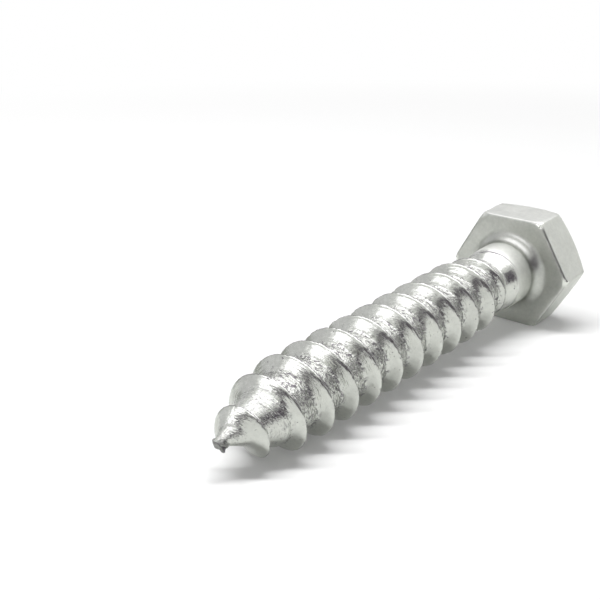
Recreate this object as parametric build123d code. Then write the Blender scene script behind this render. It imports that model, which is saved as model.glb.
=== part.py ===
from build123d import *

import os
from functools import cache
from math import ceil, cos, hypot, pi, radians, sin, tan

# A hex head lag screw of the 3/8 inch size, 2 inches long under the head. It is one piece of steel,
# with a chamfered hex head, a short plain shank and a coarse right-hand wood thread that runs out on
# the shank's shoulder and shrinks to a gimlet point.
# Sizes are in millimetres. The screw is built along +X with the centre of its bearing face at the
# origin, then tipped about that point until it lies on a flat of its head and on a turn of its thread.

# Head
across_flats = 13.85
head_height = 5.85
top_flat_diameter = 12.1
chamfer_angle = 30.0
corner_rounding = 0.35
bearing_edge_rounding = 0.25

# Shank, with the shoulder that takes it down to the thread's root
shank_diameter = 8.0
shank_length = 4.25
under_head_radius = 1.3
shoulder_angle = 24.0
shoulder_rounding = 0.5
shoulder_foot_depth = 0.3

# Thread, with one full turn of pitch between crests
screw_length = 50.8
pitch = 25.4 / 7
thread_diameter = 9.24
root_diameter = 6.4
crest_width = 0.3
flank_angle = 30.0
least_ridge_height = 0.22

# Run-out, where the ridge rises out of the shoulder to its full height
runout_start = 5.7
runout_length = 7.9
runout_power = 2.5

# Gimlet point, with the ridge and the core under it both shrinking to the tip
point_length = 10.0
point_fullness = 0.72
core_cone_length = 5.9
tip_radius = 0.25
ridge_end_setback = 0.45
thread_end_angle = 302.0
tip_cone_inset = 0.03

# Faces that each strip of the thread's surface has per turn
patches_per_turn = 6


def crest_radius(x: float) -> float:
    """Radius of the ridge's crest at a distance from the bearing face."""
    full = thread_diameter / 2
    into_point = min(max((x - (screw_length - point_length)) / point_length, 0), 1)
    at_point = full * (1 - into_point**2) ** point_fullness
    into_runout = min(max((x - runout_start) / runout_length, 0), 1)
    low = root_diameter / 2
    at_runout = full - (full - low) * (1 - into_runout) ** runout_power
    return max(min(at_point, at_runout), core_radius(x) + least_ridge_height)


def core_radius(x: float) -> float:
    """Radius of the core between the ridges at a distance from the bearing face."""
    full = root_diameter / 2
    into_cone = max((x - (screw_length - core_cone_length)) / core_cone_length, 0)
    return max(full - (full - tip_radius) * into_cone, tip_radius)


def foot_radius(crest_edge: float, crest: float, side: int) -> float:
    """Radius at which a flank, running down from an edge of the crest, meets the core."""
    full = root_diameter / 2
    cone_slope = (full - tip_radius) / core_cone_length
    flank_slope = side * tan(radians(flank_angle))
    past_cone_base = crest_edge + crest * flank_slope - (screw_length - core_cone_length)
    on_cone = (full - past_cone_base * cone_slope) / (1 - cone_slope * flank_slope)
    return max(min(full, on_cone), tip_radius)


# The ridge's centre line is a helix, counted in whole turns back from its end at the tip
thread_end = screw_length - ridge_end_setback
shank_overlap = pitch + crest_width
turns = ceil((thread_end - shank_length + shank_overlap) / pitch)
thread_start = thread_end - turns * pitch


def ridge_point(corner: int, turn: float) -> Vector:
    """A point of one of the ridge's four edges: front foot, front crest, back crest, back foot."""
    centre = thread_start + pitch * turn
    angle = 2 * pi * turn + radians(thread_end_angle)
    side = 1 if corner < 2 else -1
    crest = crest_radius(centre)
    full_height = (thread_diameter - root_diameter) / 2
    height = crest - core_radius(centre)
    offset = side * crest_width / 2 * height / full_height
    radius = crest
    if corner in (0, 3):
        radius = foot_radius(centre + offset, crest, side)
        offset += side * (crest - radius) * tan(radians(flank_angle))
    return Vector(centre + offset, radius * cos(angle), radius * sin(angle))


def ridge_travel(corner: int, turn: float) -> Vector:
    """How fast a ridge edge moves along and around per turn, which is its tangent."""
    step = 1e-4
    before = max(turn - step, 0)
    after = min(turn + step, turns)
    return (ridge_point(corner, after) - ridge_point(corner, before)) / (after - before)


@cache
def edge_controls(corner: int, place: int) -> list[Vector]:
    """Control points of the cubic that a ridge edge follows over one patch's share of a turn. Its
    arms have the length that makes a cubic follow a circular arc."""
    first, last = place / patches_per_turn, (place + 1) / patches_per_turn
    start, end = ridge_point(corner, first), ridge_point(corner, last)
    arm_turns = 4 / 3 * tan(2 * pi * (last - first) / 4) / (2 * pi)
    start_arm = ridge_travel(corner, first) * arm_turns
    end_arm = ridge_travel(corner, last) * arm_turns
    return [start, start + start_arm, end - end_arm, end]


def ruled_patch(near: list[Vector], far: list[Vector]) -> Face:
    """A ruled face between two ridge edges. The weights keep straight lines on it nearly straight in
    its own coordinates too, so that it meshes with few triangles."""
    weights = [[1 / hypot(row[0].Y, row[0].Z)] * len(row) for row in (near, far)]
    return Face.make_bezier_surface([near, far], weights)


def on_axis(point: Vector) -> Vector:
    """The point of the screw's axis level with another point."""
    return Vector(point.X, 0, 0)


def end_faces(corner: int, first_place: int, flat_corners: list[Vector]) -> list[Face]:
    """Closes one end of the thread: a helical face out from the axis over a turn, and a flat."""
    rows = [edge_controls(corner, first_place + step) for step in range(patches_per_turn)]
    faces = [Face.make_bezier_surface([[on_axis(point) for point in row], row]) for row in rows]
    inner, outer = rows[0][0], rows[-1][-1]
    axis_points = [on_axis(row[0]) for row in rows[::-1]]
    outline = [inner, *flat_corners, outer, on_axis(outer), *axis_points]
    faces.append(Face(Wire.make_polygon(outline, close=True)))
    return faces


def make_thread() -> Solid:
    """The threaded length as one solid, bounded by its flanks, crest, root and two end closures."""
    faces = []
    for place in range(turns * patches_per_turn):
        for corner in range(3):
            faces.append(ruled_patch(edge_controls(corner, place), edge_controls(corner + 1, place)))
    for place in range((turns - 1) * patches_per_turn):
        behind = edge_controls(3, place + patches_per_turn)
        faces.append(ruled_patch(edge_controls(0, place), behind))
    faces += end_faces(3, 0, [ridge_point(corner, 0) for corner in (2, 1, 0)])
    last_turn = (turns - 1) * patches_per_turn
    faces += end_faces(0, last_turn, [ridge_point(corner, turns) for corner in (3, 2, 1)])
    return Solid(Shell(faces))


def make_head() -> Part:
    """The hex prism with rounded corners, its top taken down by a cone."""
    with BuildPart() as head:
        with BuildSketch(Plane.YZ):
            RegularPolygon(across_flats / 2, 6, major_radius=False, rotation=0)
            corners = vertices()
            fillet(corners, corner_rounding)
        extrude(amount=-head_height)
        bearing_edges = edges().group_by(Axis.X)[-1]
        fillet(bearing_edges, bearing_edge_rounding)
        with BuildSketch(Plane.XY):
            top_radius = top_flat_diameter / 2
            clear_radius = across_flats
            drop = (clear_radius - top_radius) * tan(radians(chamfer_angle))
            with BuildLine():
                Polyline(
                    (-head_height, 0),
                    (-head_height, top_radius),
                    (-head_height + drop, clear_radius),
                    (0, clear_radius),
                    (0, 0),
                    close=True,
                )
            make_face()
        revolve(axis=Axis.X, mode=Mode.INTERSECT)
    return head.part


def make_shank() -> Part:
    """The plain shank, flared to the bearing face and coned down to the thread's root."""
    shank_radius = shank_diameter / 2
    inside_head = head_height / 2
    shoulder_foot_radius = root_diameter / 2 - shoulder_foot_depth
    cone_length = (shank_radius - shoulder_foot_radius) / tan(radians(shoulder_angle))
    with BuildPart() as shank:
        with BuildSketch(Plane.XY):
            with BuildLine():
                flare_rim = (0, shank_radius + under_head_radius)
                flare_end = (under_head_radius, shank_radius)
                shoulder_foot = (shank_length + cone_length, shoulder_foot_radius)
                Polyline((0, 0), (-inside_head, 0), (-inside_head, flare_rim[1]), flare_rim)
                RadiusArc(flare_rim, flare_end, -under_head_radius)
                Polyline(flare_end, (shank_length, shank_radius), shoulder_foot, (shoulder_foot[0], 0), (0, 0))
            make_face()
        revolve(axis=Axis.X)
        shoulder_edge = edges().filter_by(GeomType.CIRCLE).sort_by(
            lambda edge: abs(edge.center().X - shank_length) + abs(edge.radius - shank_radius)
        )[0]
        fillet(shoulder_edge, shoulder_rounding)
    return shank.part


def make_tip_cone() -> Part:
    """The core's cone ahead of the last turn, a hair smaller than the root so that it stays inside."""
    cone_base = screw_length - core_cone_length
    base_radius = root_diameter / 2 - tip_cone_inset
    cone = Cone(base_radius, tip_radius, core_cone_length, align=(Align.CENTER, Align.CENTER, Align.MIN))
    return Pos(cone_base, 0, 0) * Rot(0, 90, 0) * cone


def lowest_reach(tilt: float) -> tuple[float, float]:
    """How far below the origin the head and the thread reach, with the point tipped down."""
    flat_level = across_flats / 2 - bearing_edge_rounding
    head_reach = flat_level * cos(tilt) + bearing_edge_rounding * (1 - sin(tilt))
    thread_reach = 0.0
    samples = turns * 72
    for sample in range(samples + 1):
        crest = ridge_point(1, sample * turns / samples)
        thread_reach = max(thread_reach, crest.X * sin(tilt) - crest.Z * cos(tilt))
    return head_reach, thread_reach


def rest_tilt() -> float:
    """The angle, in degrees, at which the head's flat and the thread touch one level floor."""
    low, high = 0.0, 45.0
    for _ in range(40):
        middle = (low + high) / 2
        head_reach, thread_reach = lowest_reach(radians(middle))
        if thread_reach < head_reach:
            low = middle
        else:
            high = middle
    return low


def make_lag_screw() -> Part:
    """The whole screw, lying at rest."""
    upright = make_head() + make_shank() + make_thread() + make_tip_cone()
    return Rot(0, rest_tilt(), 0) * upright


os.makedirs("parts", exist_ok=True)
lag_screw = make_lag_screw()
lag_screw.label = "lag_screw"
export_step(lag_screw, "parts/lag_screw.step")
print("rest tilt", round(rest_tilt(), 4), "turns", turns, "thread start", round(thread_start, 3))
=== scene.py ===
import logging
from collections.abc import Callable
from dataclasses import dataclass, field
from enum import Enum
from functools import partial
from math import atan2, cos, exp, pi, radians, sin, sqrt, tan

import bmesh
import bpy
from mathutils import Matrix, Vector, noise


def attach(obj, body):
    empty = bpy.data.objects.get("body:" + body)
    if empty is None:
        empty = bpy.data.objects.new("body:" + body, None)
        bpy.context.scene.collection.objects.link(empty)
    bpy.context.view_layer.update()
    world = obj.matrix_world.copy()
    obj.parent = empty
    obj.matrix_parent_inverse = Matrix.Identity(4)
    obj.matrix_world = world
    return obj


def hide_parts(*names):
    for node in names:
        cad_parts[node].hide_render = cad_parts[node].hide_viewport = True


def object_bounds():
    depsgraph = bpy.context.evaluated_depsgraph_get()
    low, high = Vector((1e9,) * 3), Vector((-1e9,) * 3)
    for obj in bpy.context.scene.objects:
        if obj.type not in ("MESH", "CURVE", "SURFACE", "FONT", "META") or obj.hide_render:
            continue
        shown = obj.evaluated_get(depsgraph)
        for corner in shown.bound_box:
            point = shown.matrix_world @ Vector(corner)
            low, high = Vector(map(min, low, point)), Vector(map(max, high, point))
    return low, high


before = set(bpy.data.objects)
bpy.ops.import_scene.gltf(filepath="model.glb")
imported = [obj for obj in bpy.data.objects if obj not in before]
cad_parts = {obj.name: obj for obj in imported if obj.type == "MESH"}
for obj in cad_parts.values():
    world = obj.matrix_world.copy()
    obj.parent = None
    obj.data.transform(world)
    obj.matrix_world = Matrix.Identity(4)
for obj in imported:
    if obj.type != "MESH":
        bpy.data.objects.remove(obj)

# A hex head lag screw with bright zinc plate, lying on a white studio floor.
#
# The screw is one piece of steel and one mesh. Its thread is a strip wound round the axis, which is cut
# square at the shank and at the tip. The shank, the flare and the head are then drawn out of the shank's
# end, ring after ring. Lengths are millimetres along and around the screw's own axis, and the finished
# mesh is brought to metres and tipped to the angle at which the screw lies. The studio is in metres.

METRES_PER_MM = 0.001
FULL_TURN = 2 * pi
QUARTER_TURN = pi / 2
HEAD_SIDES = 6
SIDE_ANGLE = FULL_TURN / HEAD_SIDES
WHITE = (1.0, 1.0, 1.0, 1.0)
PIECE_NAME = "zinc_plated_screw"
REPLACED_NODE = "lag_screw"
ROLLED_PLACE = "rolled_place"

RingPlace = Callable[[float], tuple[float, float]]
AngleMap = Callable[[float], float]
Colour = tuple[float, float, float, float]
Triple = tuple[float, float, float]
Socket = bpy.types.NodeSocket

log = logging.getLogger("lag_screw_scene")


class Trait(Enum):
    """Vertex attributes that tell the finish what the surface is like."""

    ROOT = "root_share"
    THREAD = "thread_share"
    ROUGHNESS = "roughness"
    TONE_AND_PAINTED_LIGHT = "tone_and_painted_light"


@dataclass(frozen=True)
class Skin:
    """How rough the plate is over one stretch of the screw, and how pale it is drawn there by its own
    tone and by painted light and shade.
    """

    roughness: float
    tone_and_painted_light: float

    def mixed(self, other: "Skin", share: float) -> "Skin":
        """Returns the mix of this skin with a share of another."""
        roughness = blend(self.roughness, other.roughness, share)
        return Skin(roughness, blend(self.tone_and_painted_light, other.tone_and_painted_light, share))


# The paleness values hold the plate's own tone and painted light and shade: the shank is painted paler,
# and the flare, the bearing face, its edge and the head are painted darker, to stand in for how bright
# their reflections fall. The worn corner skin is painted paler as a glint. The burr is darker.
THREAD_SKIN = Skin(roughness=0.21, tone_and_painted_light=0.98)
BURR_SKIN = Skin(roughness=0.2, tone_and_painted_light=0.44)
SHANK_SKIN = Skin(roughness=0.56, tone_and_painted_light=1.17)
FLARE_SKIN = Skin(roughness=0.34, tone_and_painted_light=0.8)
BEARING_SKIN = Skin(roughness=0.4, tone_and_painted_light=0.84)
EDGE_SKIN = Skin(roughness=0.34, tone_and_painted_light=0.8)
WORN_GLINT_SKIN = Skin(roughness=0.2, tone_and_painted_light=1.25)
HEAD_SKIN = Skin(roughness=0.5, tone_and_painted_light=0.92)


@dataclass(frozen=True)
class SurfacePoint:
    """One point of the thread's surface, and what the surface is like there."""

    radius: float
    root_share: float
    thread_share: float
    rolled_place: Vector
    skin: Skin


SurfaceRule = Callable[[float, float], SurfacePoint]
SkinRule = Callable[[float], Skin]


def blend(first: float, second: float, share: float) -> float:
    """Returns the value at a share of the way from the first to the second."""
    return first + (second - first) * share


def smooth_max(first: float, second: float, width: float) -> float:
    """Returns the larger of two lengths, rounded off where they differ by less than a width."""
    share = max(width - abs(first - second), 0.0) / width
    return max(first, second) + share * share * width / 4


def smooth_min(first: float, second: float, width: float) -> float:
    """Returns the smaller of two lengths, rounded off where they differ by less than a width."""
    return -smooth_max(-first, -second, width)


def clamped(value: float, low: float = 0.0, high: float = 1.0) -> float:
    """Returns a value held between two limits."""
    return min(max(value, low), high)


def eased(value: float) -> float:
    """Returns a smooth step from 0 to 1 for a value that is held between 0 and 1."""
    share = clamped(value)
    return share * share * (3 - 2 * share)


@dataclass(frozen=True)
class Lie:
    """How the screw lies: tipped about the centre of its bearing face, on a head flat and the thread."""

    rest_tilt: float = 3.2348

    def to_row(self) -> Matrix:
        """Returns the matrix from the screw's own axis in millimetres to the row frame in metres."""
        return Matrix.Rotation(radians(self.rest_tilt), 4, "Y") @ Matrix.Scale(METRES_PER_MM, 4)


@dataclass
class Shank:
    """The plain shank with its flare under the head and the shoulder down to the thread's root."""

    radius: float = 4.0
    length: float = 4.25
    flare_radius: float = 1.3
    flare_steps: int = 9
    flare_lead: float = 0.25
    shoulder_angle: float = 24.0
    shoulder_softness: float = 0.3
    join_at: float = 2.6

    @property
    def flare_rim(self) -> float:
        """Radius at which the flare meets the bearing face."""
        return self.radius + self.flare_radius

    def radius_at(self, along: float) -> float:
        """Returns the radius of the shank and its shoulder, which keeps falling past the shoulder."""
        cone = self.radius - (along - self.length) * tan(radians(self.shoulder_angle))
        return smooth_min(self.radius, cone, self.shoulder_softness)

    def flare_ring(self, bend: float, angle: float) -> tuple[float, float]:
        """Returns a ring's place on the flare, bent by an angle from the shank outwards."""
        radius = self.flare_rim - self.flare_radius * cos(bend)
        return self.flare_radius * (1 - sin(bend)), radius

    def draw_out(self, shell: "Shell") -> None:
        """Draws the plain shank and its flare out of the shell's open end.

        Args:
            shell: The screw's mesh, which ends in a ring round the shank.
        """
        shell.open_at(self.join_at)
        shell.draw_ring(lambda angle: (self.flare_radius + self.flare_lead, self.radius), SHANK_SKIN)
        for step in range(self.flare_steps + 1):
            bend = QUARTER_TURN * step / self.flare_steps
            shell.draw_ring(partial(self.flare_ring, bend), FLARE_SKIN)


@dataclass(frozen=True)
class Fractal:
    """A layered noise, about 0 in the mean, that roughens a surface."""

    per_mm: float
    falloff: float
    spacing: float
    layers: int = 3

    def at(self, place: Vector) -> float:
        """Returns the noise at a place in millimetres."""
        return noise.fractal(place * self.per_mm, self.falloff, self.spacing, self.layers)


@dataclass(frozen=True)
class Burr:
    """The dull, crumpled burr that the point's forming left where the ridge ends."""

    along: float = 50.55
    half_length: float = 0.72
    angle: float = 284.0
    half_angle: float = 135.0
    steepness: float = 2.0
    height: float = 0.27
    mean_rise: float = 0.9
    least_rise: float = 0.3
    most_rise: float = 1.3
    crumple_rise: float = 0.7
    crumple: Fractal = Fractal(per_mm=2.4, falloff=0.8, spacing=2.1)

    def share_at(self, along: float, angle: float) -> float:
        """How much of the surface is burr.

        Args:
            along: Distance from the bearing face.
            angle: Angle round the axis.

        Returns:
            A share that is 1 at the burr's middle and 0 away from it.
        """
        turned = (angle - radians(self.angle) + pi) % FULL_TURN - pi
        away = ((along - self.along) / self.half_length) ** 2 + (turned / radians(self.half_angle)) ** 2
        return eased(self.steepness * (1 - away))

    def rise_at(self, place: Vector) -> float:
        """Returns the height of the burr's crumpled surface at a place where the burr is whole."""
        rise = self.mean_rise + self.crumple_rise * self.crumple.at(place)
        return self.height * clamped(rise, self.least_rise, self.most_rise)


@dataclass(frozen=True)
class CrestWear:
    """How far the ridge wavers and how deep its crest is chipped."""

    waver: float = 0.035
    wavers_per_mm: float = 0.55
    chip_depth: float = 0.09
    chips_per_mm: float = 2.4
    chip_threshold: float = 0.05
    chip_focus: int = 3

    def shift_at(self, place: Vector, standing: float) -> float:
        """How far the ridge's surface is moved outwards.

        Args:
            place: A point on a cylinder as wide as the crest.
            standing: Height of the ridge there, as a share of its full height.

        Returns:
            The move, which is inwards where the crest is chipped.
        """
        waver = noise.noise(place * self.wavers_per_mm) * self.waver
        chips = clamped(noise.noise(place * self.chips_per_mm) - self.chip_threshold)
        return waver * standing - self.chip_depth * chips * standing**self.chip_focus


@dataclass(frozen=True)
class RootGround:
    """The pitted ground between the ridges, which ends raggedly on their feet and fades at the point."""

    pit_depth: float = 0.03
    pit_bias: float = 0.1
    highest_lump: float = -0.4
    pits: Fractal = Fractal(per_mm=3.2, falloff=0.7, spacing=2.2)
    foot_height: float = 0.4
    foot_bias: float = 0.1
    raggedness: float = 0.25
    rags_per_mm: float = 2.2
    smooth_from: float = 42.5
    smooth_over: float = 3.0
    point_smoothness: float = 0.75
    shoulder_blend: float = 0.3

    def share_at(self, place: Vector, along: float, over_core: float, over_shoulder: float) -> float:
        """How much of the surface is pitted ground.

        Args:
            place: A point on a cylinder as wide as the crest.
            along: Distance from the bearing face.
            over_core: Height of the ridge's surface over the core.
            over_shoulder: Height of the thread's surface over the shank's shoulder.

        Returns:
            A share that is 1 in the root and 0 on the ridge and on the shank.
        """
        ragged = noise.noise(place * self.rags_per_mm) * self.raggedness
        share = 1 - clamped(over_core / self.foot_height + self.foot_bias + ragged)
        share *= 1 - self.point_smoothness * eased((along - self.smooth_from) / self.smooth_over)
        return share * clamped(over_shoulder / self.shoulder_blend)

    def depth_at(self, place: Vector, share: float) -> float:
        """Returns how deep a share of pitted ground is sunk at a place, below 0 on the lumps."""
        return self.pit_depth * share * clamped(self.pits.at(place) + self.pit_bias, self.highest_lump)


@dataclass
class Thread:
    """The coarse right-hand wood thread, from its run-out on the shoulder to the gimlet point."""

    shank: Shank
    screw_length: float = 50.8
    pitch: float = 25.4 / 7
    crest_radius: float = 4.62
    root_radius: float = 3.2
    crest_half_width: float = 0.09
    least_crest_share: float = 0.35
    flank_angle: float = 30.0
    least_ridge_height: float = 0.22
    runout_start: float = 5.7
    runout_length: float = 7.9
    runout_power: float = 2.5
    point_length: float = 10.0
    point_fullness: float = 0.72
    core_cone_length: float = 5.9
    tip_radius: float = 0.25
    tip_bulge: float = 0.08
    ridge_end: float = 50.35
    end_angle: float = 302.0
    end_fade: float = 0.25
    foot_softness: float = 0.14
    crest_softness: float = 0.04
    skin_blend: float = 0.7
    rows_per_pitch: int = 24
    steps_per_turn: int = 200
    spare_turns: int = 2
    wear: CrestWear = CrestWear()
    ground: RootGround = RootGround()
    burr: Burr = Burr()

    @property
    def ridge_height(self) -> float:
        """Height of the whole ridge over the core."""
        return self.crest_radius - self.root_radius

    def crest_at(self, along: float) -> float:
        """Radius of the ridge's crest.

        Args:
            along: Distance of the ridge's centre line from the bearing face.

        Returns:
            The radius, shrinking at the run-out and at the point.
        """
        into_point = clamped((along - self.screw_length + self.point_length) / self.point_length)
        at_point = self.crest_radius * (1 - into_point**2) ** self.point_fullness
        into_runout = clamped((along - self.runout_start) / self.runout_length)
        at_runout = self.crest_radius - self.ridge_height * (1 - into_runout) ** self.runout_power
        return max(min(at_point, at_runout), self.core_at(along) + self.least_ridge_height)

    def core_at(self, along: float) -> float:
        """Radius of the core between the ridges.

        Args:
            along: Distance from the bearing face.

        Returns:
            The radius, falling in a straight cone at the point.
        """
        cone_start = self.screw_length - self.core_cone_length
        into_cone = max((along - cone_start) / self.core_cone_length, 0.0)
        return max(self.root_radius - (self.root_radius - self.tip_radius) * into_cone, self.tip_radius)

    def nearest_crest(self, along: float, angle: float) -> float:
        """Finds the turn of the ridge that is nearest along the axis.

        Args:
            along: Distance from the bearing face.
            angle: Angle round the axis.

        Returns:
            Where that turn's centre line crosses this angle.
        """
        phase = self.ridge_end + self.pitch * (angle - radians(self.end_angle)) / FULL_TURN
        turn = round((along - phase) / self.pitch)
        return phase + turn * self.pitch

    def ridge_at(self, along: float, angle: float) -> float:
        """Radius of the ridge's surface, which is well inside the core away from the ridge.

        Args:
            along: Distance from the bearing face.
            angle: Angle round the axis.

        Returns:
            The radius of the crest or of a flank.
        """
        centre = self.nearest_crest(along, angle)
        crest = self.crest_at(centre)
        height = crest - self.core_at(centre)
        crest -= height * (1 - eased((self.ridge_end - centre) / self.end_fade + 1))
        half_width = self.crest_half_width * clamped(height / self.ridge_height, self.least_crest_share)
        down = (abs(along - centre) - half_width) / tan(radians(self.flank_angle))
        return smooth_min(crest, crest - down, self.crest_softness)

    def surface_at(self, along: float, angle: float) -> SurfacePoint:
        """Surface of the whole screw behind the head, worn and pitted as rolled steel is.

        Args:
            along: Distance from the bearing face.
            angle: Angle round the axis.

        Returns:
            The surface's radius there and what it is like.
        """
        place = Vector((along, self.crest_radius * cos(angle), self.crest_radius * sin(angle)))
        core = self.core_at(along)
        ridge = self.ridge_at(along, angle)
        ridge += self.wear.shift_at(place, clamped((ridge - core) / self.ridge_height))
        threaded = smooth_max(core, ridge, self.foot_softness)
        shoulder = self.shank.radius_at(along)
        radius = smooth_max(threaded, shoulder, self.foot_softness)
        root_share = self.ground.share_at(place, along, ridge - core, threaded - shoulder)
        radius -= self.ground.depth_at(place, root_share)
        burred = self.burr.share_at(along, angle)
        if burred > 0:
            burr_place = Vector((along, radius * cos(angle), radius * sin(angle)))
            radius += burred * self.burr.rise_at(burr_place)
            root_share = max(root_share, burred)
        thread_share = eased((along - self.shank.length) / self.skin_blend + 0.5)
        skin = SHANK_SKIN.mixed(THREAD_SKIN, thread_share).mixed(BURR_SKIN, burred)
        return SurfacePoint(radius, root_share, thread_share, self.rolled_place(along, angle), skin)

    def rolled_place(self, along: float, angle: float) -> Vector:
        """A place for the rolling marks.

        Args:
            along: Distance from the bearing face.
            angle: Angle round the axis.

        Returns:
            Two parts that go round once per pitch, with the second 0 along the crest, and a third that
            goes with the distance to one side of the axis. All are in millimetres.
        """
        phase = FULL_TURN * (along - self.ridge_end) / self.pitch - (angle - radians(self.end_angle))
        reach = self.pitch / FULL_TURN
        return Vector((reach * cos(phase), reach * sin(phase), self.crest_radius * cos(angle)))

    def wind(self, shell: "Shell") -> None:
        """Winds the thread's strip round the axis, shapes it, cuts its ends square and closes the tip.

        Args:
            shell: The screw's mesh, still empty.
        """
        strip_start = self.ridge_end - self.pitch * (int(self.ridge_end / self.pitch) + self.spare_turns)
        row_gap = self.pitch / self.rows_per_pitch
        rows = int((self.screw_length + self.pitch - strip_start) / row_gap) + 1
        shell.wind_strip(
            start=strip_start,
            end=strip_start + rows * row_gap,
            rows=rows,
            pitch=self.pitch,
            steps=self.steps_per_turn,
            start_angle=radians(self.end_angle),
        )
        shell.cut_square(self.shank.join_at, keep_beyond=True)
        shell.cut_square(self.screw_length, keep_beyond=False)
        shell.shape_surface(self.surface_at)
        shell.open_at(self.screw_length)
        shell.close_end(self.screw_length + self.tip_bulge)


@dataclass
class HexHead:
    """The hex head: bearing face, six sides, chamfer and plain top.

    The shares and insets say where its rings lie: out over the bearing face, up the sides, in over the
    chamfer, and in over the top.
    """

    shank: Shank
    half_across_flats: float = 6.925
    height: float = 5.85
    top_flat_radius: float = 6.05
    chamfer_angle: float = 30.0
    corner_rounding: float = 0.4
    least_rounding: float = 0.05
    edge_rounding: float = 0.25
    edge_steps: int = 4
    corner_wear: float = 0.35
    corner_reach: float = 0.06
    crowding: float = 0.8
    bearing_shares: tuple[float, ...] = (0.04, 0.35, 0.7, 1.0)
    side_shares: tuple[float, ...] = (0.03, 0.35, 0.65, 0.97)
    chamfer_shares: tuple[float, ...] = (0.03, 0.12, 0.5, 0.88, 0.97)
    top_insets: tuple[float, ...] = (0.05, 0.2, 1.55, 3.05, 4.55)
    # Painted light and shade on the six sides, from the side at 0 to 60 degrees round: the top side
    # darkest, the right and lower right sides paler.
    side_painted_light: tuple[float, ...] = (1.0, 0.78, 0.92, 0.92, 0.92, 1.05)

    def crowded(self, angle: float) -> float:
        """Returns an angle moved towards the nearest corner, so that its small rounding is well made."""
        return angle - self.crowding / HEAD_SIDES * sin(HEAD_SIDES * angle)

    def from_corner(self, angle: float) -> float:
        """Returns the angle from the nearest corner."""
        return angle - round(angle / SIDE_ANGLE) * SIDE_ANGLE

    def outline(self, angle: float, inset: float = 0.0) -> float:
        """Radius of the rounded hexagon.

        Args:
            angle: Angle round the axis, from a corner.
            inset: How far the hexagon lies inside the head's full outline.

        Returns:
            The radius of the outline at that angle.
        """
        half_side = SIDE_ANGLE / 2
        from_corner = self.from_corner(angle)
        flat = self.half_across_flats - inset
        rounding = max(self.corner_rounding - inset, self.least_rounding)
        centre = (flat - rounding) / cos(half_side)
        tangent = atan2(rounding * sin(half_side), centre + rounding * cos(half_side))
        if abs(from_corner) < tangent:
            across = centre * sin(from_corner)
            return centre * cos(from_corner) + sqrt(rounding**2 - across**2)
        return flat / cos(half_side - abs(from_corner))

    def wear_at(self, angle: float) -> float:
        """Returns how worn the bearing face's edge is: 1 at a corner and 0 away from the corners."""
        return exp(-((self.from_corner(angle) / self.corner_reach) ** 2))

    def edge_at(self, angle: float) -> float:
        """Returns the radius of the bearing face's edge, which is worn rounder at the corners."""
        return self.edge_rounding + self.corner_wear * self.wear_at(angle)

    def edge_skin(self, angle: float) -> Skin:
        """Returns the skin of the bearing face's edge, smoother where it is worn and painted paler there
        as a glint.
        """
        return EDGE_SKIN.mixed(WORN_GLINT_SKIN, self.wear_at(angle))

    def side_skin(self, angle: float) -> Skin:
        """Returns the skin of the side that an angle looks out of, with painted shade and light: the top
        side darkest, the two sides on the right paler.
        """
        side = int(angle % FULL_TURN / SIDE_ANGLE) % HEAD_SIDES
        return Skin(HEAD_SKIN.roughness, self.side_painted_light[side])

    def chamfer_height(self, radius: float) -> float:
        """Returns how far up from the bearing face the chamfer's cone is at a radius."""
        return self.height - (radius - self.top_flat_radius) * tan(radians(self.chamfer_angle))

    def bearing_ring(self, share: float, angle: float) -> tuple[float, float]:
        """Returns a ring's place on the bearing face, at a share of the way out from the flare's rim."""
        outer = self.outline(angle, self.edge_at(angle))
        return 0.0, blend(self.shank.flare_rim, outer, share)

    def edge_ring(self, bend: float, angle: float) -> tuple[float, float]:
        """Returns a ring's place on the bearing face's edge, bent by an angle towards the sides."""
        rounding = self.edge_at(angle)
        return -rounding * (1 - cos(bend)), self.outline(angle, rounding * (1 - sin(bend)))

    def side_ring(self, share: float, angle: float) -> tuple[float, float]:
        """Returns a ring's place on the six sides, at a share of the way from the edge to the chamfer."""
        radius = self.outline(angle)
        return -blend(self.edge_at(angle), self.chamfer_height(radius), share), radius

    def chamfer_ring(self, share: float, angle: float) -> tuple[float, float]:
        """Returns a ring's place on the chamfer, at a share of the way in from the sides to the top."""
        radius = blend(self.outline(angle), self.top_flat_radius, share)
        return -self.chamfer_height(radius), radius

    def top_ring(self, inset: float, angle: float) -> tuple[float, float]:
        """Returns a ring's place on the flat top, for its inset from the chamfer."""
        return -self.height, self.top_flat_radius - inset

    def draw_out(self, shell: "Shell") -> None:
        """Draws the head out of the flare's rim and closes its top.

        Args:
            shell: The screw's mesh, whose open end is the flare's rim.
        """
        bends = [QUARTER_TURN * (step + 1) / self.edge_steps for step in range(self.edge_steps)]
        stretches = (
            (self.bearing_ring, self.bearing_shares, BEARING_SKIN),
            (self.edge_ring, bends, self.edge_skin),
            (self.side_ring, self.side_shares, self.side_skin),
            (self.chamfer_ring, self.chamfer_shares, HEAD_SKIN),
            (self.top_ring, self.top_insets, HEAD_SKIN),
        )
        for ring, steps, skin in stretches:
            for step in steps:
                shell.draw_ring(partial(ring, step), skin, self.crowded)
        shell.close_end(-self.height)


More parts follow.
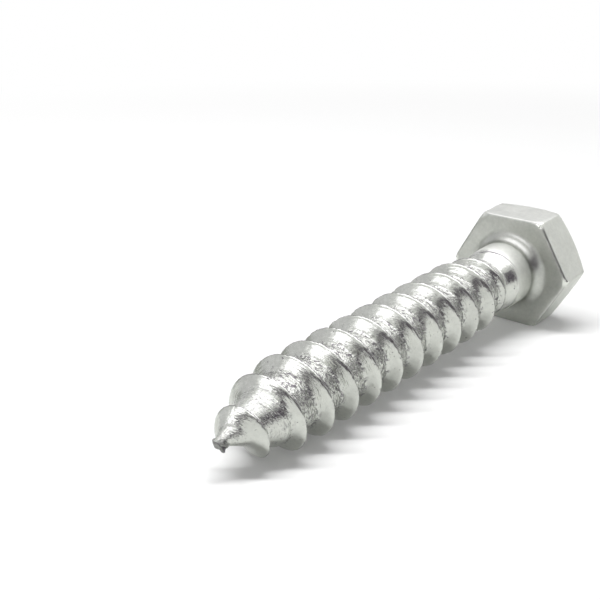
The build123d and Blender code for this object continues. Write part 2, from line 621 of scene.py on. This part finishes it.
class Shell:
    """The screw's skin while it is being made, with the ring at which it is still open."""

    CUT_TOLERANCE: float = 1e-5
    RIM_TOLERANCE: float = 1e-3
    SHORTEST_EDGE: float = 1e-4
    MERGE_SHARE: float = 0.1

    def __init__(self) -> None:
        """Starts an empty mesh with the attributes that the finish reads."""
        self.mesh = bmesh.new()
        self.first_angle = self.mesh.verts.layers.float.new("first_angle")
        for trait in Trait:
            self.mesh.verts.layers.float.new(trait.value)
        self.mesh.verts.layers.float_vector.new(ROLLED_PLACE)
        self.rim: list[bmesh.types.BMEdge] = []

    def mark(self, vertex: bmesh.types.BMVert, trait: Trait, value: float) -> None:
        """Writes one trait of the surface at a vertex."""
        vertex[self.mesh.verts.layers.float[trait.value]] = value

    def dress(self, vertex: bmesh.types.BMVert, skin: Skin) -> None:
        """Gives a vertex the roughness of a skin and its paleness, which holds painted light and shade.
        """
        self.mark(vertex, Trait.ROUGHNESS, skin.roughness)
        self.mark(vertex, Trait.TONE_AND_PAINTED_LIGHT, skin.tone_and_painted_light)

    def wind_strip(
        self, start: float, end: float, rows: int, pitch: float, steps: int, start_angle: float
    ) -> None:
        """Winds a straight line of vertices round the axis into a tube with a screw's slant.

        Args:
            start: Where the line starts along the axis.
            end: Where the line ends along the axis.
            rows: Number of spaces between the line's vertices.
            pitch: Advance of the line per turn.
            steps: Steps of the winding per turn.
            start_angle: Angle at which the line starts to turn.
        """
        side = Vector((0, cos(start_angle), sin(start_angle)))
        ends = [self.mesh.verts.new(Vector((along, 0, 0)) + side) for along in (start, end)]
        line = self.mesh.edges.new(ends)
        bmesh.ops.subdivide_edges(self.mesh, edges=[line], cuts=rows - 1)
        bmesh.ops.spin(
            self.mesh,
            geom=self.mesh.verts[:] + self.mesh.edges[:],
            axis=(1, 0, 0),
            angle=FULL_TURN,
            dvec=(pitch / steps, 0, 0),
            steps=steps,
        )
        merge_distance = pitch / rows * self.MERGE_SHARE
        bmesh.ops.remove_doubles(self.mesh, verts=self.mesh.verts[:], dist=merge_distance)

    def cut_square(self, along: float, keep_beyond: bool) -> None:
        """Cuts the skin across the axis and drops one side of the cut.

        Args:
            along: Where the cut is.
            keep_beyond: Whether the side towards the point is kept.
        """
        bmesh.ops.bisect_plane(
            self.mesh,
            geom=self.mesh.verts[:] + self.mesh.edges[:] + self.mesh.faces[:],
            dist=self.CUT_TOLERANCE,
            plane_co=(along, 0, 0),
            plane_no=(1, 0, 0),
            clear_inner=keep_beyond,
            clear_outer=not keep_beyond,
        )

    def shape_surface(self, surface_at: SurfaceRule) -> None:
        """Moves every vertex out from the axis and marks what the surface is like there.

        Args:
            surface_at: Gives the surface's point for a distance and an angle.
        """
        places = self.mesh.verts.layers.float_vector[ROLLED_PLACE]
        for vertex in self.mesh.verts:
            angle = atan2(vertex.co.z, vertex.co.y)
            point = surface_at(vertex.co.x, angle)
            vertex.co.y = point.radius * cos(angle)
            vertex.co.z = point.radius * sin(angle)
            vertex[places] = point.rolled_place
            self.mark(vertex, Trait.ROOT, point.root_share)
            self.mark(vertex, Trait.THREAD, point.thread_share)
            self.dress(vertex, point.skin)

    def open_at(self, along: float) -> None:
        """Takes up the open ring at one place along the axis.

        Args:
            along: Where the open ring is.
        """
        self.rim = [
            edge
            for edge in self.mesh.edges
            if edge.is_boundary
            and all(abs(vertex.co.x - along) < self.RIM_TOLERANCE for vertex in edge.verts)
        ]
        for edge in self.rim:
            for vertex in edge.verts:
                vertex[self.first_angle] = atan2(vertex.co.z, vertex.co.y)

    def draw_ring(self, place: RingPlace, skin: Skin | SkinRule, turned: AngleMap | None = None) -> None:
        """Draws one more ring of faces out of the open ring.

        Args:
            place: Gives the distance along the axis and the radius for the angle that a vertex takes.
            skin: What the new ring's surface is like, or a rule that gives it for an angle.
            turned: Gives the angle that a vertex takes, where that isn't its angle in the first ring.
        """
        drawn = bmesh.ops.extrude_edge_only(self.mesh, edges=self.rim)["geom"]
        fresh = [item for item in drawn if isinstance(item, bmesh.types.BMVert)]
        self.rim = [item for item in drawn if isinstance(item, bmesh.types.BMEdge) and item.is_boundary]
        for vertex in fresh:
            angle = vertex[self.first_angle]
            if turned:
                angle = turned(angle)
            along, radius = place(angle)
            vertex.co = Vector((along, radius * cos(angle), radius * sin(angle)))
            self.dress(vertex, skin if isinstance(skin, Skin) else skin(angle))
            self.mark(vertex, Trait.THREAD, 0.0)
            self.mark(vertex, Trait.ROOT, 0.0)

    def close_end(self, along: float) -> None:
        """Draws the open ring together to a point on the axis.

        Args:
            along: Where the point is.
        """
        drawn = bmesh.ops.extrude_edge_only(self.mesh, edges=self.rim)["geom"]
        fresh = [item for item in drawn if isinstance(item, bmesh.types.BMVert)]
        bmesh.ops.pointmerge(self.mesh, verts=fresh, merge_co=Vector((along, 0, 0)))
        self.rim = []

    def to_object(self, name: str, matrix: Matrix) -> bpy.types.Object:
        """Finishes the mesh and makes an object of it.

        Args:
            name: Name of the piece.
            matrix: Brings the mesh to its place in the row frame.

        Returns:
            The object, at the origin, with its place in its mesh.
        """
        bmesh.ops.dissolve_degenerate(self.mesh, dist=self.SHORTEST_EDGE, edges=self.mesh.edges[:])
        bmesh.ops.triangulate(self.mesh, faces=[face for face in self.mesh.faces if len(face.verts) > 4])
        bmesh.ops.recalc_face_normals(self.mesh, faces=self.mesh.faces[:])
        self.mesh.verts.layers.float.remove(self.first_angle)
        self.mesh.transform(matrix)
        for face in self.mesh.faces:
            face.smooth = True
        data = bpy.data.meshes.new(name)
        self.mesh.to_mesh(data)
        self.mesh.free()
        piece = bpy.data.objects.new(name, data)
        bpy.context.scene.collection.objects.link(piece)
        return piece


@dataclass(frozen=True)
class Step:
    """A smooth step: the value at which it gives 0 and the value at which it gives 1."""

    zero_at: float
    one_at: float


class NodeBench:
    """Short ways of adding and joining shader nodes in one material or world."""

    NOISE_ROUGHNESS: float = 0.6
    TURN_DRIFT: float = 0.35

    def __init__(self, tree: bpy.types.NodeTree) -> None:
        """Starts on a node tree, which it empties."""
        self.tree = tree
        tree.nodes.clear()

    def add(self, kind: str, **settings: object) -> bpy.types.Node:
        """Adds one node.

        Args:
            kind: The node's type.
            settings: Its properties, and its sockets' values under their names with underscores.

        Returns:
            The node.
        """
        node = self.tree.nodes.new(kind)
        for key, value in settings.items():
            if hasattr(node, key):
                setattr(node, key, value)
            else:
                node.inputs[key.replace("_", " ")].default_value = value
        return node

    def join(self, source: Socket, target: Socket) -> None:
        """Joins an output to an input."""
        self.tree.links.new(source, target)

    def trait(self, trait: Trait) -> Socket:
        """Returns the output that reads one of the piece's vertex attributes."""
        return self.add("ShaderNodeAttribute", attribute_name=trait.value).outputs["Fac"]

    def maths(self, operation: str, *terms: object) -> Socket:
        """Adds a sum on values or outputs.

        Args:
            operation: Blender's name of the operation.
            terms: Its numbers or outputs.

        Returns:
            The output of the sum.
        """
        node = self.add("ShaderNodeMath", operation=operation)
        for index, term in enumerate(terms):
            if isinstance(term, Socket):
                self.join(term, node.inputs[index])
            else:
                node.inputs[index].default_value = term
        return node.outputs[0]

    def noise(self, place: Socket, scale: float, detail: float) -> Socket:
        """Adds a noise texture.

        Args:
            place: The coordinates it follows.
            scale: Its cells per unit of those coordinates.
            detail: How many finer layers it has.

        Returns:
            The output of the noise, about 0.5 in the mean.
        """
        node = self.add("ShaderNodeTexNoise", Scale=scale, Detail=detail, Roughness=self.NOISE_ROUGHNESS)
        self.join(place, node.inputs["Vector"])
        return node.outputs["Fac"]

    def rolled_noise(self, scale: float, detail: float, shortness: float) -> Socket:
        """Adds a noise texture that is drawn out along the ridge.

        It drifts with the distance along the axis, so that no turn of the thread repeats another.

        Args:
            scale: Its cells per millimetre across the ridge.
            detail: How many finer layers it has.
            shortness: Its cells along the ridge for each one across.

        Returns:
            The output of the noise, about 0.5 in the mean.
        """
        rolled = self.add("ShaderNodeAttribute", attribute_name=ROLLED_PLACE)
        drawn = self.add("ShaderNodeVectorMath", operation="MULTIPLY")
        drawn.inputs[1].default_value = (1.0, 1.0, shortness)
        self.join(rolled.outputs["Vector"], drawn.inputs[0])
        level = self.add("ShaderNodeVectorMath", operation="DOT_PRODUCT")
        level.inputs[1].default_value = Vector((self.TURN_DRIFT, 0.0, shortness)) / METRES_PER_MM
        self.join(self.add("ShaderNodeTexCoord").outputs["Object"], level.inputs[0])
        node = self.add("ShaderNodeTexNoise", noise_dimensions="4D", Scale=scale, Detail=detail)
        node.inputs["Roughness"].default_value = self.NOISE_ROUGHNESS
        self.join(drawn.outputs["Vector"], node.inputs["Vector"])
        self.join(level.outputs["Value"], node.inputs["W"])
        return node.outputs["Fac"]

    def ramp(self, value: Socket, step: Step) -> Socket:
        """Adds a smooth step.

        Args:
            value: The output that it steps on.
            step: Where it gives 0 and where it gives 1.

        Returns:
            The output of the step.
        """
        node = self.add("ShaderNodeMapRange", interpolation_type="SMOOTHSTEP")
        node.inputs["From Min"].default_value = step.zero_at
        node.inputs["From Max"].default_value = step.one_at
        self.join(value, node.inputs["Value"])
        return node.outputs["Result"]


@dataclass(frozen=True)
class PlatePattern:
    """Outputs for what is spread over the plate, all shares of 0 to 1."""

    root: Socket
    thread: Socket
    grain: Socket
    blotches: Socket
    lumps: Socket
    marks: Socket
    pits: Socket
    seam: Socket


@dataclass(frozen=True)
class ZincPlate:
    """Bright zinc plate: dull on the head and shank, bright on the thread, pitted in the thread's root.

    Depths are millimetres. Rolling marks run along the ridge and a ragged seam runs along its crest. The
    pits, the specks, the seam and the root's marks are darkened towards one dark colour as painted shade.
    """

    colour: Colour = (0.56, 0.576, 0.533, 1.0)
    painted_shade_colour: Colour = (0.09, 0.07, 0.10, 1.0)
    mottling: float = 0.3
    pit_painted_shade: float = 0.75
    seam_painted_shade: float = 0.8
    roughness_spread: float = 0.12
    pit_roughness: float = 0.08
    grain_per_metre: float = 2600.0
    grain_depth: float = 0.003
    blotches_per_metre: float = 420.0
    blotch_depth: float = 0.012
    lumps_per_mm: float = 4.9
    lump_shortness: float = 0.5
    lump_depth: float = 0.11
    pit_step: Step = Step(0.55, 0.6)
    speck_step: Step = Step(0.66, 0.71)
    pit_depth: float = 0.04
    marks_per_mm: float = 8.0
    mark_shortness: float = 0.08
    mark_depth: float = 0.04
    root_mark_depth: float = 0.05
    streak_step: Step = Step(0.4, 0.34)
    seam_depth: float = 0.05
    seam_half_width: float = 0.12
    seam_setback: float = 0.07
    seam_waver: float = 0.22
    seam_breaks_per_mm: float = 0.9
    seam_break_step: Step = Step(0.38, 0.44)

    def make(self) -> bpy.types.Material:
        """Builds the material.

        Returns:
            The material, which reads object coordinates and the piece's vertex attributes.
        """
        material = bpy.data.materials.new("bright_zinc_plate")
        material.use_nodes = True
        bench = NodeBench(material.node_tree)
        output = bench.add("ShaderNodeOutputMaterial")
        shader = bench.add("ShaderNodeBsdfPrincipled", Metallic=1.0)
        bench.join(shader.outputs["BSDF"], output.inputs["Surface"])
        pattern = self.pattern(bench)
        bench.join(self.roughness(bench, pattern), shader.inputs["Roughness"])
        bench.join(self.base_colour(bench, pattern), shader.inputs["Base Color"])
        bump = bench.add("ShaderNodeBump", Strength=1.0, Distance=METRES_PER_MM)
        bench.join(self.relief(bench, pattern), bump.inputs["Height"])
        bench.join(bump.outputs["Normal"], shader.inputs["Normal"])
        return material

    def pattern(self, bench: NodeBench) -> PlatePattern:
        """Lays out the grain, the lumps and pits, the rolling marks and the seam.

        Args:
            bench: The material's nodes.

        Returns:
            The outputs that the colour, the roughness and the relief share.
        """
        place = bench.add("ShaderNodeTexCoord").outputs["Object"]
        root = bench.trait(Trait.ROOT)
        thread = bench.trait(Trait.THREAD)
        grain = bench.noise(place, self.grain_per_metre, detail=4.0)
        blotches = bench.noise(place, self.blotches_per_metre, detail=2.0)
        lumps = bench.rolled_noise(self.lumps_per_mm, detail=3.0, shortness=self.lump_shortness)
        marks = bench.rolled_noise(self.marks_per_mm, detail=2.0, shortness=self.mark_shortness)
        pits = bench.maths("MULTIPLY", bench.ramp(lumps, self.pit_step), root)
        specks = bench.maths("MULTIPLY", bench.ramp(lumps, self.speck_step), thread)
        seam = bench.maths("MULTIPLY", self.seam_share(bench, grain), thread)
        streaks = bench.maths("MULTIPLY", bench.ramp(marks, self.streak_step), root)
        return PlatePattern(
            root=root,
            thread=thread,
            grain=grain,
            blotches=blotches,
            lumps=lumps,
            marks=marks,
            pits=bench.maths("MAXIMUM", pits, specks),
            seam=bench.maths("MAXIMUM", seam, streaks),
        )

    def seam_share(self, bench: NodeBench, grain: Socket) -> Socket:
        """Finds the broken seam along the crest's side towards the head.

        Args:
            bench: The material's nodes.
            grain: The noise that makes the seam waver.

        Returns:
            An output that is 1 in the seam and 0 elsewhere.
        """
        rolled = bench.add("ShaderNodeAttribute", attribute_name=ROLLED_PLACE).outputs["Vector"]
        parts = bench.add("ShaderNodeSeparateXYZ")
        bench.join(rolled, parts.inputs["Vector"])
        near = bench.maths("GREATER_THAN", parts.outputs["X"], 0.0)
        setback = self.seam_setback - self.seam_waver / 2
        waver = bench.maths("MULTIPLY_ADD", grain, self.seam_waver, setback)
        offset = bench.maths("ABSOLUTE", bench.maths("ADD", parts.outputs["Y"], waver))
        inside = bench.ramp(offset, Step(self.seam_half_width, self.seam_half_width / 3))
        breaks = bench.noise(rolled, self.seam_breaks_per_mm, detail=1.0)
        broken = bench.ramp(breaks, self.seam_break_step)
        return bench.maths("MULTIPLY", bench.maths("MULTIPLY", inside, broken), near)

    def roughness(self, bench: NodeBench, pattern: PlatePattern) -> Socket:
        """Gives the roughness of the surface's skin, a little uneven and rougher in pits and seam.

        Args:
            bench: The material's nodes.
            pattern: What is spread over the plate.

        Returns:
            The output for the roughness.
        """
        spread = self.roughness_spread
        uneven = bench.maths("MULTIPLY_ADD", pattern.grain, spread, -spread / 2)
        skin = bench.maths("ADD", bench.trait(Trait.ROUGHNESS), uneven)
        sunk = bench.maths("MAXIMUM", pattern.pits, pattern.seam)
        return bench.maths("MULTIPLY_ADD", sunk, self.pit_roughness, skin)

    def base_colour(self, bench: NodeBench, pattern: PlatePattern) -> Socket:
        """Gives the mottled colour of the plate, with painted shade in the pits, the specks, the seam and
        the root's marks.

        Args:
            bench: The material's nodes.
            pattern: What is spread over the plate.

        Returns:
            The output for the colour.
        """
        unevenness = bench.maths("ADD", pattern.blotches, pattern.grain)
        mottled = bench.maths("MULTIPLY_ADD", unevenness, self.mottling, -self.mottling)
        # The paleness mark scales the colour, with the painted light and shade that the skins carry.
        pale = bench.add("ShaderNodeVectorMath", operation="SCALE")
        pale.inputs[0].default_value = self.colour[:3]
        bench.join(bench.maths("ADD", bench.trait(Trait.TONE_AND_PAINTED_LIGHT), mottled), pale.inputs["Scale"])
        # Painted shade: the pits and specks, the crest's seam and the root's marks are darkened towards a
        # dark lilac colour.
        painted_pit_shade = bench.maths("MULTIPLY", pattern.pits, self.pit_painted_shade)
        painted_seam_shade = bench.maths("MULTIPLY", pattern.seam, self.seam_painted_shade)
        painted_shade_mix = bench.add("ShaderNodeMix", data_type="RGBA")
        bench.join(bench.maths("MAXIMUM", painted_pit_shade, painted_seam_shade), painted_shade_mix.inputs["Factor"])
        bench.join(pale.outputs["Vector"], painted_shade_mix.inputs["A"])
        painted_shade_mix.inputs["B"].default_value = self.painted_shade_colour
        return painted_shade_mix.outputs["Result"]

    def relief(self, bench: NodeBench, pattern: PlatePattern) -> Socket:
        """Adds up the heights that the bump shows.

        Args:
            bench: The material's nodes.
            pattern: What is spread over the plate.

        Returns:
            The output for the height in millimetres.
        """
        root_lumps = bench.maths("MULTIPLY", pattern.lumps, pattern.root)
        thread_marks = bench.maths("MULTIPLY", pattern.marks, pattern.thread)
        mark_depth = bench.maths("MULTIPLY_ADD", pattern.root, self.root_mark_depth, self.mark_depth)
        height = bench.maths("MULTIPLY", pattern.grain, self.grain_depth)
        for share, depth in (
            (pattern.blotches, self.blotch_depth),
            (root_lumps, self.lump_depth),
            (pattern.pits, -self.pit_depth),
            (pattern.seam, -self.seam_depth),
            (thread_marks, mark_depth),
        ):
            height = bench.maths("ADD", height, bench.maths("MULTIPLY", share, depth))
        return height


@dataclass(frozen=True)
class StudioWhite:
    """The white floor, which keeps the screw's shadow, and the plain light round it."""

    floor_size: float = 4.0
    floor_colour: Colour = (0.88, 0.88, 0.88, 1.0)
    lift: float = 0.08
    mirrored_painted_glow: float = 0.035
    ambient: float = 0.32
    shadow_reach: float = 0.12
    white_from: float = 0.26

    def make_floor(self, level: float) -> bpy.types.Object:
        """Lays the floor under the screw.

        Args:
            level: Height of the floor.

        Returns:
            The floor's object.
        """
        flat = bmesh.new()
        bmesh.ops.create_grid(flat, x_segments=1, y_segments=1, size=self.floor_size / 2)
        flat.transform(Matrix.Translation((0, 0, level)))
        data = bpy.data.meshes.new("floor")
        flat.to_mesh(data)
        flat.free()
        floor = bpy.data.objects.new("floor", data)
        bpy.context.scene.collection.objects.link(floor)
        data.materials.append(self.floor_material())
        return floor

    def shown_share(self, bench: NodeBench) -> Socket:
        """Returns 1 for rays that show the background: seen directly, in gloss or through glass."""
        path = bench.add("ShaderNodeLightPath")
        seen = bench.maths("MAXIMUM", path.outputs["Is Camera Ray"], path.outputs["Is Glossy Ray"])
        return bench.maths("MAXIMUM", seen, path.outputs["Is Transmission Ray"])

    def floor_material(self) -> bpy.types.Material:
        """Builds the floor's white, a little lifted where it is seen so that only shadows show.

        Past the reach of the screw's shadow the seen floor turns to the plain white of the world. In the
        metal it glows a little more, as painted light that lightens its mirrored shadow.

        Returns:
            The material.
        """
        material = bpy.data.materials.new("floor_white")
        material.use_nodes = True
        bench = NodeBench(material.node_tree)
        output = bench.add("ShaderNodeOutputMaterial")
        matt = bench.add("ShaderNodeBsdfDiffuse", Color=self.floor_colour)
        glow = bench.add("ShaderNodeEmission", Color=WHITE)
        shown = self.shown_share(bench)
        # Painted light: in the metal the floor glows a little more, which lightens its shadow as mirrored
        # there.
        mirrored = bench.add("ShaderNodeLightPath").outputs["Is Glossy Ray"]
        raised = bench.maths("MULTIPLY", mirrored, self.mirrored_painted_glow)
        bench.join(bench.maths("MULTIPLY_ADD", shown, self.lift, raised), glow.inputs["Strength"])
        both = bench.add("ShaderNodeAddShader")
        bench.join(matt.outputs[0], both.inputs[0])
        bench.join(glow.outputs[0], both.inputs[1])
        away = bench.add("ShaderNodeVectorMath", operation="LENGTH")
        bench.join(bench.add("ShaderNodeTexCoord").outputs["Object"], away.inputs[0])
        far = bench.ramp(away.outputs["Value"], Step(self.shadow_reach, self.white_from))
        white = bench.add("ShaderNodeEmission", Color=WHITE, Strength=1.0)
        mixed = bench.add("ShaderNodeMixShader")
        bench.join(bench.maths("MULTIPLY", far, shown), mixed.inputs[0])
        bench.join(both.outputs[0], mixed.inputs[1])
        bench.join(white.outputs[0], mixed.inputs[2])
        bench.join(mixed.outputs[0], output.inputs["Surface"])
        return material

    def make_world(self) -> None:
        """Surrounds the scene with plain light, shown as white."""
        world = bpy.data.worlds.new("studio")
        world.use_nodes = True
        bpy.context.scene.world = world
        bench = NodeBench(world.node_tree)
        output = bench.add("ShaderNodeOutputWorld")
        glow = bench.add("ShaderNodeBackground", Color=WHITE)
        raised = bench.maths("MULTIPLY", self.shown_share(bench), 1.0 - self.ambient)
        bench.join(bench.maths("ADD", raised, self.ambient), glow.inputs["Strength"])
        bench.join(glow.outputs[0], output.inputs["Surface"])


class Lights(Enum):
    """What a lamp lights: only what is mirrored in the metal, or only matt surfaces."""

    MIRRORED = "mirrored"
    MATT = "matt"


@dataclass(frozen=True)
class SoftBox:
    """A rectangular studio lamp that looks at the middle of the screw."""

    name: str
    lights: Lights
    direction: Triple
    width_along: Triple
    distance: float
    width: float
    depth: float
    radiance: float
    colour: Triple = (0.955, 0.915, 1.0)

    def hang(self, target: Vector) -> bpy.types.Object:
        """Hangs the lamp.

        Args:
            target: The point it looks at.

        Returns:
            The lamp's object.
        """
        lamp = bpy.data.lights.new(self.name, "AREA")
        lamp.shape = "RECTANGLE"
        lamp.size = self.width
        lamp.size_y = self.depth
        lamp.energy = self.radiance * pi * self.width * self.depth
        lamp.color = self.colour
        piece = bpy.data.objects.new(self.name, lamp)
        away = Vector(self.direction).normalized()
        upward = away.cross(Vector(self.width_along)).normalized()
        turn = Matrix((upward.cross(away), upward, away)).transposed().to_4x4()
        piece.matrix_world = Matrix.Translation(target + away * self.distance) @ turn
        piece.visible_camera = False
        piece.visible_glossy = self.lights is Lights.MIRRORED
        piece.visible_diffuse = self.lights is Lights.MATT
        bpy.context.scene.collection.objects.link(piece)
        return piece


@dataclass(frozen=True)
class Screen:
    """A curved screen that stands on the floor round the screw and is seen only in the metal.

    Its top edge climbs from one end to the other.
    """

    name: str
    radius: float
    first_azimuth: float
    last_azimuth: float
    first_rise: float
    last_rise: float
    climb_over: float
    colour: Colour
    steps: int = 48

    def stand(self, centre: Vector) -> bpy.types.Object:
        """Stands the screen up on the floor.

        Args:
            centre: The point on the floor that the screen goes round.

        Returns:
            The screen's object.
        """
        sheet = bmesh.new()
        start = Vector((self.radius, 0, 0))
        foot = sheet.verts.new(start)
        top = sheet.verts.new(start + Vector((0, 0, self.radius)))
        sheet.edges.new((foot, top))
        first = Matrix.Rotation(radians(self.first_azimuth), 4, "Z")
        bmesh.ops.transform(sheet, matrix=first, verts=sheet.verts[:])
        bmesh.ops.spin(
            sheet,
            geom=sheet.verts[:] + sheet.edges[:],
            axis=(0, 0, 1),
            angle=radians(self.last_azimuth - self.first_azimuth),
            steps=self.steps,
        )
        for vertex in sheet.verts:
            if vertex.co.z > 0:
                turned = (atan2(vertex.co.y, vertex.co.x) - radians(self.first_azimuth)) % FULL_TURN
                share = eased(turned / radians(self.climb_over))
                rise = blend(self.first_rise, self.last_rise, share)
                vertex.co.z = self.radius * tan(radians(rise))
        data = bpy.data.meshes.new(self.name)
        sheet.to_mesh(data)
        sheet.free()
        screen = bpy.data.objects.new(self.name, data)
        screen.location = centre
        for kind in ("camera", "diffuse", "transmission", "shadow", "volume_scatter"):
            setattr(screen, f"visible_{kind}", False)
        material = bpy.data.materials.new(self.name)
        material.use_nodes = True
        bench = NodeBench(material.node_tree)
        output = bench.add("ShaderNodeOutputMaterial")
        glow = bench.add("ShaderNodeEmission", Color=self.colour, Strength=1.0)
        bench.join(glow.outputs[0], output.inputs["Surface"])
        data.materials.append(material)
        bpy.context.scene.collection.objects.link(screen)
        return screen


@dataclass(frozen=True)
class Viewpoint:
    """The camera, a little above the screw and ahead of its point."""

    position: Triple = (0.0960954, 0.0505795, 0.036476)
    forward: Triple = (-0.695831, -0.622411, -0.358363)
    right: Triple = (-0.665554, 0.746339, -0.00395)
    lens: float = 52.7625
    sensor_width: float = 36.0
    nearest: float = 0.005
    farthest: float = 20.0

    def make(self) -> None:
        """Creates the camera and gives it to the scene."""
        lens = bpy.data.cameras.new("camera")
        lens.lens = self.lens
        lens.sensor_width = self.sensor_width
        lens.clip_start = self.nearest
        lens.clip_end = self.farthest
        camera = bpy.data.objects.new("camera", lens)
        back = -Vector(self.forward).normalized()
        right = Vector(self.right).normalized()
        up = back.cross(right)
        turn = Matrix((right, up, back)).transposed().to_4x4()
        camera.matrix_world = Matrix.Translation(self.position) @ turn
        bpy.context.scene.collection.objects.link(camera)
        bpy.context.scene.camera = camera


@dataclass
class LagScrew:
    """The whole screw, one piece of steel with one finish."""

    lie: Lie = Lie()
    finish: ZincPlate = ZincPlate()
    shank: Shank = field(default_factory=Shank)

    def build(self) -> bpy.types.Object:
        """Builds and dresses the screw.

        Returns:
            The piece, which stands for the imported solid.
        """
        shell = Shell()
        Thread(self.shank).wind(shell)
        self.shank.draw_out(shell)
        HexHead(self.shank).draw_out(shell)
        piece = shell.to_object(PIECE_NAME, self.lie.to_row())
        piece.data.materials.append(self.finish.make())
        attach(piece, "root")
        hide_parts(REPLACED_NODE)
        return piece


LAMPS = (
    SoftBox(
        name="top_softbox",
        lights=Lights.MIRRORED,
        direction=(-0.25, 0.0, 1.0),
        width_along=(1.0, 0.0, 0.0),
        distance=0.5,
        width=0.85,
        depth=0.72,
        radiance=1.7,
    ),
    SoftBox(
        name="side_softbox",
        lights=Lights.MIRRORED,
        direction=(0.9, -0.17, 0.4),
        width_along=(0.0, 1.0, 0.0),
        distance=0.6,
        width=0.26,
        depth=0.2,
        radiance=2.3,
    ),
    SoftBox(
        name="strip_lamp",
        lights=Lights.MATT,
        direction=(0.11, -0.12, 1.0),
        width_along=(-0.67, 0.74, 0.0),
        distance=0.6,
        width=0.62,
        depth=0.06,
        radiance=30.0,
        colour=(1.0, 1.0, 1.0),
    ),
)
SCREENS = (
    Screen(
        name="dark_screen",
        radius=0.6,
        first_azimuth=-8.0,
        last_azimuth=118.0,
        first_rise=11.0,
        last_rise=36.0,
        climb_over=75.0,
        colour=(0.115, 0.096, 0.124, 1.0),
    ),
    Screen(
        name="grey_screen",
        radius=0.59,
        first_azimuth=-150.0,
        last_azimuth=-32.0,
        first_rise=40.0,
        last_rise=40.0,
        climb_over=60.0,
        colour=(0.86, 0.85, 0.88, 1.0),
    ),
    # Painted shade: a grey card close by, seen only in the metal, that darkens the floor's reflection on
    # that side.
    Screen(
        name="near_painted_shade_card",
        radius=0.04,
        first_azimuth=-165.0,
        last_azimuth=-45.0,
        first_rise=14.0,
        last_rise=14.0,
        climb_over=60.0,
        colour=(0.5, 0.51, 0.49, 1.0),
    ),
)


def main() -> None:
    """Builds the screw, the studio and the camera."""
    logging.basicConfig(level=logging.INFO, format="%(name)s: %(message)s")
    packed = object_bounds()
    screw = LagScrew().build()
    log.info("%s has %d faces", screw.name, len(screw.data.polygons))

    studio = StudioWhite()
    floor = studio.make_floor(packed[0].z)
    studio.make_world()
    middle = (packed[0] + packed[1]) / 2
    under_middle = Vector((middle.x, middle.y, packed[0].z))
    for lamp in LAMPS:
        lamp.hang(middle)
        log.info("%s hung", lamp.name)
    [screen.stand(under_middle) for screen in SCREENS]
    Viewpoint().make()
    bpy.context.scene.view_settings.view_transform = "Standard"


if __name__ == "__main__":
    main()
